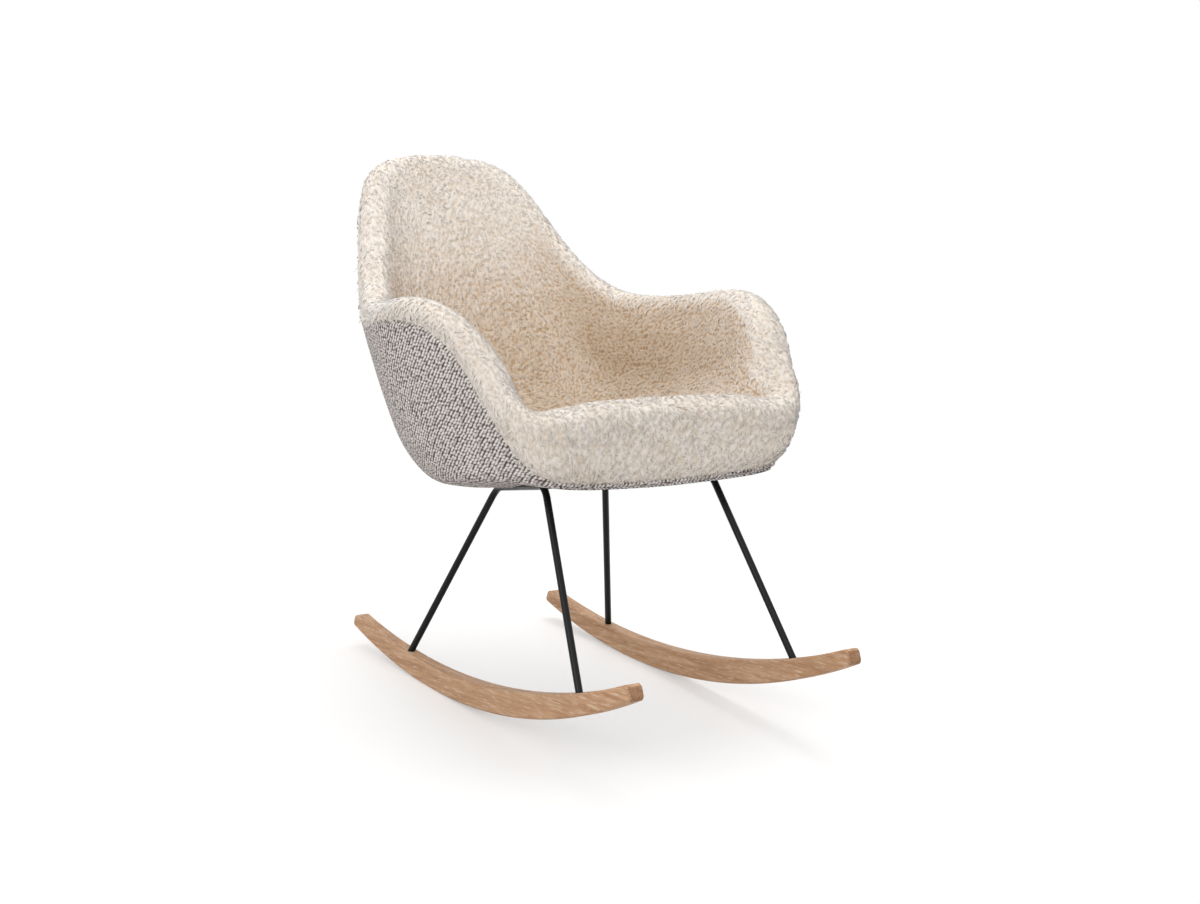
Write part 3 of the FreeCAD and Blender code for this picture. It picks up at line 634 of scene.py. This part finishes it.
def curls(name, roots, normals, rolls, airs, random):
    """Bent tapering strands of pile, one at each root, longer where the cover is rolled."""
    count = len(roots)
    flow = combed(normals, random, CURL_TURN - 0.8 * rolls)
    side = np.cross(normals, flow)
    length = random.uniform(*CURL_LENGTH, count)[:, None] * (1.0 + 0.7 * rolls[:, None])
    rise = random.uniform(*CURL_RISE, count)[:, None]
    bend = random.normal(0.0, CURL_BEND, count)[:, None] * (1.0 + 0.4 * rolls[:, None])
    width = random.uniform(*CURL_WIDTH, count)[:, None] * (1.0 - 0.2 * rolls[:, None])
    shares = np.linspace(0, 1, CURL_SECTIONS)
    points = []
    shading = []
    for share in shares:
        lift = rise * math.sin(math.pi * (0.12 + 0.7 * share)) - CURL_SINK
        centre = roots + flow * length * share + normals * lift + side * bend * share**2
        radius = width * (1.0 - CURL_TAPER * share**1.5)
        for corner in range(CURL_SIDES):
            angle = 2 * math.pi * corner / CURL_SIDES
            spoke = side * math.cos(angle) + normals * math.sin(angle)
            points.append(centre + spoke * radius)
            shading.append(spoke * (1.0 - CURL_SOFTNESS) + normals * CURL_SOFTNESS)
    points = np.stack(points, 1)
    shading = np.stack(shading, 1).reshape(-1, 3)
    per_curl = points.shape[1]
    faces = []
    for section in range(CURL_SECTIONS - 1):
        for corner in range(CURL_SIDES):
            after = (corner + 1) % CURL_SIDES
            low = section * CURL_SIDES
            high = low + CURL_SIDES
            faces.append((low + corner, low + after, high + after))
            faces.append((low + corner, high + after, high + corner))
    end = per_curl - CURL_SIDES
    faces.append((2, 1, 0))
    faces.append((end, end + 1, end + 2))
    faces = np.array(faces)
    corners = (faces[None] + (np.arange(count) * per_curl)[:, None, None]).reshape(-1)
    mesh = bpy.data.meshes.new(name)
    mesh.vertices.add(count * per_curl)
    mesh.vertices.foreach_set("co", points.reshape(-1))
    mesh.loops.add(len(corners))
    mesh.loops.foreach_set("vertex_index", corners.astype(np.int32))
    mesh.polygons.add(len(corners) // 3)
    mesh.polygons.foreach_set("loop_start", np.arange(0, len(corners), 3, dtype=np.int32))
    mesh.polygons.foreach_set("use_smooth", np.ones(len(corners) // 3, bool))
    mesh.update(calc_edges=True)
    mesh.normals_split_custom_set_from_vertices(shading / np.linalg.norm(shading, axis=1, keepdims=True))
    tip = np.tile(np.repeat(shares, CURL_SIDES), (count, 1))
    tone = np.repeat(random.random(count)[:, None], per_curl, 1)
    paint_pile(mesh, 0.35 + 0.65 * tip.ravel(), tone.ravel(), np.repeat(airs, per_curl))
    cells = math.ceil(math.sqrt(count))
    corner_share = np.tile(np.arange(CURL_SIDES) / CURL_SIDES, CURL_SECTIONS)
    u = (np.arange(count) % cells)[:, None] + 0.1 + 0.8 * corner_share
    v = (np.arange(count) // cells)[:, None] + 0.1 + 0.8 * np.repeat(shares, CURL_SIDES)
    flat = np.stack([u, v], 2).reshape(-1, 2) / cells
    mesh.uv_layers.new(name="OFBake").data.foreach_set("uv", flat[corners].ravel())
    piece = bpy.data.objects.new(name, mesh)
    scene.collection.objects.link(piece)
    return piece


def paint_pile(mesh, tip, tone, air):
    """Keeps how near the tip each point is, its tuft's tone, and its openness for painted shade and
    highlight.
    """
    colours = np.ones((len(mesh.vertices), 4), np.float32)
    colours[:, 0] = tip
    colours[:, 1] = tone
    colours[:, 2] = air
    layer = mesh.color_attributes.new("pile", "FLOAT_COLOR", "POINT")
    layer.data.foreach_set("color", colours.ravel())


def tuft_field(points, tufts):
    """For each point, how far it is from the nearest tuft, and which one that is."""
    tree = KDTree(len(tufts))
    for number, tuft in enumerate(tufts):
        tree.insert(tuft, number)
    tree.balance()
    found = [tree.find(point) for point in points]
    near = np.array([tuft[2] for tuft in found])
    which = np.array([tuft[1] for tuft in found])
    return near, which


def map_heights(back, face):
    """How high on the map for baking each ring of a cover lies."""
    return list(np.linspace(*BACK_MAP, len(back))) + list(np.linspace(*FACE_MAP, len(face)))


def backing_rings(grid, normals, depth):
    """Coarse rings on the hidden side of a cover, from its middle out to the seam."""
    back = grid - normals * depth
    rows = back[:-1:BACKING_STEP]
    rings = []
    count = COLUMNS
    for row in rows[:4]:
        rings.append(thinned(row, count))
        count = max(count // 2, BACKING_COLUMNS)
    rings += [thinned(row, BACKING_COLUMNS) for row in rows[4:]]
    return rings[::-1], back[-1, 0]


def cover_rings(grid, heights, normals, tuck):
    """Rings over the open face of a cover, the first one turned in at the seam."""
    counts = ring_counts(grid)
    raised = grid + normals * heights[:, :, None]
    edge = grid[0] - normals[0] * tuck
    rings = [edge] + [thinned(row, count) for row, count in zip(raised, counts)]
    return rings, raised[-1].mean(0)


def bridged(grid):
    """A grid whose narrow creases are filled, as soft padding fills them."""
    soft = grid.copy()
    for _ in range(CREASE_PASSES):
        soft[1:-1] += 0.25 * (soft[2:] - 2 * soft[1:-1] + soft[:-2])
    normals = outward(grid, 1)
    lift = ((soft - grid) * normals).sum(2, keepdims=True)
    return grid + normals * np.clip(lift, 0.0, CREASE_FILL)


def rolled(grid, normals):
    """How tightly each place on a grid is rolled outward along its column, from 0 to 1."""
    steps = np.gradient(grid, axis=0)
    turns = np.gradient(normals, axis=0)
    bend = (steps * turns).sum(2) / np.maximum((steps * steps).sum(2), 1e-12)
    return np.clip(bend / FULL_ROLL, 0.0, 1.0)


def inner_cover():
    """The cream pile on the inside of the bucket and over its rim."""
    random = np.random.default_rng(11)
    rings = ending_in_middle(face_rings("inner_cover", True))
    swell = swollen(rings - outward(rings, 1) * PILE_SINK)
    grid = bridged(resampled(swell, PILE_ROWS, COLUMNS))
    normals = outward(grid, 1)
    knots = row_lengths(swell)
    # Openness sets the painted shade and rim highlight; the hollow of the seat counts as less open, so it is
    # painted darker
    airs = around(open_air(swell, random), COLUMNS)
    airs = along_rows(airs, knots, np.linspace(0, knots[-1], PILE_ROWS))[:, :, 0]
    depth = np.exp(-((grid - HOLLOW) ** 2).sum(2) / (2 * HOLLOW_REACH**2))
    airs = np.clip(airs - HOLLOW_SHADE * depth, 0.0, 1.0)
    spots = scattered(grid[:-2], TUFT_SPACING, PILE_TRIES, random)
    tufts = read_at(grid, *spots)
    tuft_normals = read_at(normals, *spots)
    tuft_normals /= np.linalg.norm(tuft_normals, axis=1, keepdims=True)
    near, which = tuft_field(grid.reshape(-1, 3), tufts)
    sizes = random.uniform(*TUFT_SIZES, len(tufts))
    crown = np.clip(1.0 - (near / (0.75 * TUFT_SPACING)) ** 2, 0.0, 1.0)
    heights = (TUFT_RISE * crown * sizes[which]).reshape(grid.shape[:2])
    heights[-3:] = heights[-3:].mean()
    face, middle = cover_rings(grid, heights, normals, PILE_TUCK)
    back, back_middle = backing_rings(grid, normals, PILE_BACKING)
    piece = closed_skin("cream_cover", back + face, [back_middle, middle], map_heights(back, face))
    counts = [len(ring) for ring in face[1:]]
    hidden = np.zeros(sum(len(ring) for ring in back) + COLUMNS)

    def over_skin(field):
        rows = [thinned(row, count) for row, count in zip(field.reshape(grid.shape[:2]), counts)]
        return np.concatenate([hidden] + rows + [[0.5, 0.5]])

    paint_pile(piece.data, 0.1 + 0.6 * over_skin(crown), over_skin(sizes[which]), over_skin(airs))
    strands = []
    tall = tufts + tuft_normals * (TUFT_RISE * 0.5)
    rolls = read_at(rolled(grid, normals), *spots)[:, 0]
    strand_airs = read_at(airs, *spots)[:, 0]
    order = random.permutation(len(tufts))
    for number, share in enumerate(np.array_split(order, CURL_PIECES), 1):
        fields = [field[share] for field in (tall, tuft_normals, rolls, strand_airs)]
        strands.append(curls(f"cream_curls_{number}", *fields, random))
    return piece, strands


def outer_cover():
    """The grey weave round the outside of the bucket and under it."""
    random = np.random.default_rng(23)
    rings = ending_in_middle(face_rings("outer_cover", False))
    grid = resampled(rings, WEAVE_ROWS, COLUMNS)
    normals = outward(grid, -1)
    nubs = read_at(grid, *scattered(grid[:-2], NUB_SPACING, NUB_TRIES, random))
    near = tuft_field(grid.reshape(-1, 3), nubs)[0]
    crown = np.clip(1.0 - (near / NUB_REACH) ** 2, 0.0, 1.0).reshape(grid.shape[:2])
    heights = NUB_RISE * crown - WEAVE_SINK
    sunk = np.clip(1.0 - np.arange(len(grid)) / 2.0, 0.0, 1.0)
    heights -= SEAM_SINK * sunk[:, None]
    heights[-3:] = heights[-3:].mean()
    face, middle = cover_rings(grid, heights, normals, WEAVE_TUCK)
    back, back_middle = backing_rings(grid, normals, WEAVE_BACKING + WEAVE_SINK)
    piece = closed_skin("grey_cover", back + face, [back_middle, middle], map_heights(back, face))
    piece.data.flip_normals()
    weave_map(piece.data, grid, len(face) - 1)
    return piece


def weave_map(mesh, grid, steps):
    """A map in metres for the weave: round the bucket and down its wall, and straight over its underside."""
    flat = np.empty(len(mesh.loops) * 2)
    mesh.uv_layers["OFBake"].data.foreach_get("uv", flat)
    shares, heights = flat.reshape(-1, 2).T
    rows = np.clip((1.0 - heights / FACE_MAP[0]) * steps - 1.0, 0.0, len(grid) - 1.0)
    middle = grid[-1, 0]
    reach = np.linalg.norm((grid - middle)[:, :, :2], axis=2)
    falls = np.hypot(np.diff(reach, axis=0), np.diff(grid[:, :, 2], axis=0))
    fall = read_at(np.concatenate([-grid[:1, :, 2], falls]).cumsum(0), rows, shares * COLUMNS)[:, 0]
    ring = np.vstack([grid[WEAVE_LEVEL], grid[WEAVE_LEVEL, :1]])[:, :2] - middle[:2]
    girths = np.concatenate([[0], np.cumsum(np.linalg.norm(np.diff(ring, axis=0), axis=1))])
    ring_turns = np.unwrap(np.arctan2(ring[:, 0], -ring[:, 1]))
    points = np.empty(len(mesh.vertices) * 3)
    mesh.vertices.foreach_get("co", points)
    corners = np.empty(len(mesh.loops), int)
    mesh.loops.foreach_get("vertex_index", corners)
    points = points.reshape(-1, 3)[corners] - middle
    turns = np.arctan2(points[:, 0], -points[:, 1])
    turns += 2 * np.pi * np.round(shares - turns / (2 * np.pi))
    metres = np.stack([np.interp(turns, ring_turns, girths) + WEAVE_SLANT * fall, fall], 1)
    facing = np.empty(len(mesh.polygons) * 3)
    mesh.polygons.foreach_get("normal", facing)
    sides = np.empty(len(mesh.polygons), int)
    mesh.polygons.foreach_get("loop_total", sides)
    under = np.repeat(facing.reshape(-1, 3)[:, 2] < WEAVE_UNDERSIDE, sides)
    metres[under] = points[under, :2]
    mesh.uv_layers.new(name="weave").data.foreach_set("uv", metres.ravel())


# CAD nodes that stay


def smooth_by_angle(limit):
    """A node group that joins the points of a mesh and shades it smooth, apart from its sharp edges."""
    group = bpy.data.node_groups.new("smooth_by_angle", "GeometryNodeTree")
    group.interface.new_socket("Geometry", in_out="INPUT", socket_type="NodeSocketGeometry")
    group.interface.new_socket("Geometry", in_out="OUTPUT", socket_type="NodeSocketGeometry")
    start = group.nodes.new("NodeGroupInput")
    end = group.nodes.new("NodeGroupOutput")
    merge = group.nodes.new("GeometryNodeMergeByDistance")
    merge.inputs["Distance"].default_value = WELD
    plain = group.nodes.new("GeometryNodeRemoveAttribute")
    plain.inputs["Name"].default_value = "custom_normal"
    soft = group.nodes.new("GeometryNodeSetShadeSmooth")
    angle = group.nodes.new("GeometryNodeInputMeshEdgeAngle")
    below = group.nodes.new("FunctionNodeCompare")
    below.operation = "LESS_THAN"
    below.inputs[1].default_value = limit
    sharp = group.nodes.new("GeometryNodeSetShadeSmooth")
    sharp.domain = "EDGE"
    chain = [start, merge, plain, soft, sharp, end]
    for first, second in zip(chain, chain[1:]):
        group.links.new(first.outputs[0], second.inputs[0])
    group.links.new(angle.outputs["Unsigned Angle"], below.inputs[0])
    group.links.new(below.outputs[0], sharp.inputs["Shade Smooth"])
    return group


def dress(node, material, group):
    """Gives a CAD node its finish and its smooth shading."""
    piece = nodes[node]
    piece.data.materials.clear()
    piece.data.materials.append(material)
    piece.modifiers.new("Smooth", "NODES").node_group = group


# The room


def build_room():
    """A floor that keeps the shadow and fades to white, a white room and three soft lights."""
    mesh = bpy.data.meshes.new("floor")
    corners = [(x * FLOOR_REACH, y * FLOOR_REACH, 0) for x, y in ((-1, -1), (1, -1), (1, 1), (-1, 1))]
    mesh.from_pydata(corners, [], [(0, 1, 2, 3)])
    floor = bpy.data.objects.new("floor", mesh)
    scene.collection.objects.link(floor)
    surface = Surface("white_floor", {"Roughness": 0.5, "Specular IOR Level": 0.2})
    surface.set(surface.shader, "Base Color", srgb(206, 205, 204))
    path = surface.add("ShaderNodeLightPath", {}).outputs
    seen = surface.math("MAXIMUM", path["Is Camera Ray"], path["Is Glossy Ray"])
    seen = surface.math("MAXIMUM", seen, path["Is Transmission Ray"])
    place = surface.place()
    distance = surface.add("ShaderNodeVectorMath", {0: place}, operation="LENGTH").outputs["Value"]
    inputs = {"Value": distance, "From Min": FLOOR_FADE[0], "From Max": FLOOR_FADE[1]}
    far = surface.add("ShaderNodeMapRange", inputs, interpolation_type="SMOOTHSTEP").outputs[0]
    white = surface.add("ShaderNodeEmission", {"Strength": 1.0})
    lift = surface.add("ShaderNodeEmission", {"Strength": surface.math("MULTIPLY", seen, FLOOR_LIFT)})
    near = surface.add("ShaderNodeAddShader", {0: surface.shader.outputs[0], 1: lift.outputs[0]})
    share = surface.math("MULTIPLY", far, seen)
    blend = surface.add("ShaderNodeMixShader", {0: share, 1: near.outputs[0], 2: white.outputs[0]})
    output = surface.tree.nodes["Material Output"]
    surface.tree.links.new(blend.outputs[0], output.inputs["Surface"])
    floor.data.materials.append(surface.material)

    world = bpy.data.worlds.new("room")
    scene.world = world
    world.use_nodes = True
    tree = world.node_tree
    tree.nodes.clear()
    path = tree.nodes.new("ShaderNodeLightPath")
    seen = path.outputs["Is Camera Ray"]
    for kind in ("Is Glossy Ray", "Is Transmission Ray"):
        either = tree.nodes.new("ShaderNodeMath")
        either.operation = "MAXIMUM"
        tree.links.new(seen, either.inputs[0])
        tree.links.new(path.outputs[kind], either.inputs[1])
        seen = either.outputs[0]
    level = tree.nodes.new("ShaderNodeMapRange")
    level.inputs["To Min"].default_value = ROOM_LEVEL
    level.inputs["To Max"].default_value = 1.0
    tree.links.new(seen, level.inputs["Value"])
    sky = tree.nodes.new("ShaderNodeBackground")
    sky.inputs["Color"].default_value = grey(1.0)
    tree.links.new(level.outputs[0], sky.inputs["Strength"])
    end = tree.nodes.new("ShaderNodeOutputWorld")
    tree.links.new(sky.outputs[0], end.inputs[0])

    for light in LIGHTS:
        add_light(*light)


def add_light(name, place, size, power):
    """A round soft light that faces the chair."""
    lamp = bpy.data.lights.new(name, "AREA")
    lamp.shape = "DISK"
    lamp.size = size
    lamp.energy = power
    light = bpy.data.objects.new(name, lamp)
    light.location = place
    light.rotation_euler = (Vector(LIGHT_TARGET) - Vector(place)).to_track_quat("-Z", "Y").to_euler()
    scene.collection.objects.link(light)


def build_camera():
    """The camera of the photo, rolled back with the chair."""
    lens = bpy.data.cameras.new("camera")
    lens.sensor_width = CAMERA_SENSOR
    lens.sensor_fit = "HORIZONTAL"
    lens.lens = CAMERA_LENS
    camera = bpy.data.objects.new("camera", lens)
    scene.collection.objects.link(camera)
    axle = Vector((0.0, 0.0, AXLE_HEIGHT))
    roll = Matrix.Rotation(-REST_LEAN, 3, "X")
    forward = (roll @ Vector(CAMERA_FORWARD)).normalized()
    right = roll @ Vector(CAMERA_RIGHT)
    right = (right - forward * right.dot(forward)).normalized()
    up = right.cross(forward)
    turn = Matrix((right, up, -forward)).transposed().to_4x4()
    camera.matrix_world = Matrix.Translation(axle + roll @ (Vector(CAMERA_PLACE) - axle)) @ turn
    scene.camera = camera


# Assembly

cream = cream_pile("cream_pile")
cover, strands = inner_cover()
for piece in [cover] + strands:
    piece.data.materials.append(cream)
    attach(piece, "root")
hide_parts("inner_cover", "seat_foam")

outside = outer_cover()
outside.data.materials.append(grey_weave())
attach(outside, "root")
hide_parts("outer_cover")

rounded = smooth_by_angle(math.radians(32))
steel = speckled(
    "black_powder_coat", srgb(9, 9, 10), srgb(14, 14, 15), 1600.0, {"Specular IOR Level": 0.22}, (0.3, 0.4)
)
rubber = speckled("black_rubber", srgb(24, 24, 24), srgb(34, 34, 33), 900.0, {}, (0.7, 0.85), 0.3)
zinc = speckled(
    "zinc_plate", srgb(176, 178, 178), srgb(205, 206, 204), 700.0, {"Metallic": 1.0}, (0.28, 0.42)
)
plastic = speckled("moulded_shell", srgb(48, 48, 50), srgb(58, 58, 60), 700.0, {}, (0.5, 0.62), 0.25)
oak = pale_oak()
finishes = {
    "seat_shell": plastic,
    "left_leg_rod": steel,
    "right_leg_rod": steel,
    "front_cross_bar": steel,
    "rear_cross_bar": steel,
    "mount_tabs": steel,
    "spacer_pads": rubber,
    "mount_bolts": zinc,
    "shell_nuts": zinc,
    "left_rocker": oak,
    "right_rocker": oak,
}
for node, material in finishes.items():
    dress(node, material, rounded)

build_room()
build_camera()
scene.view_settings.view_transform = "Standard"
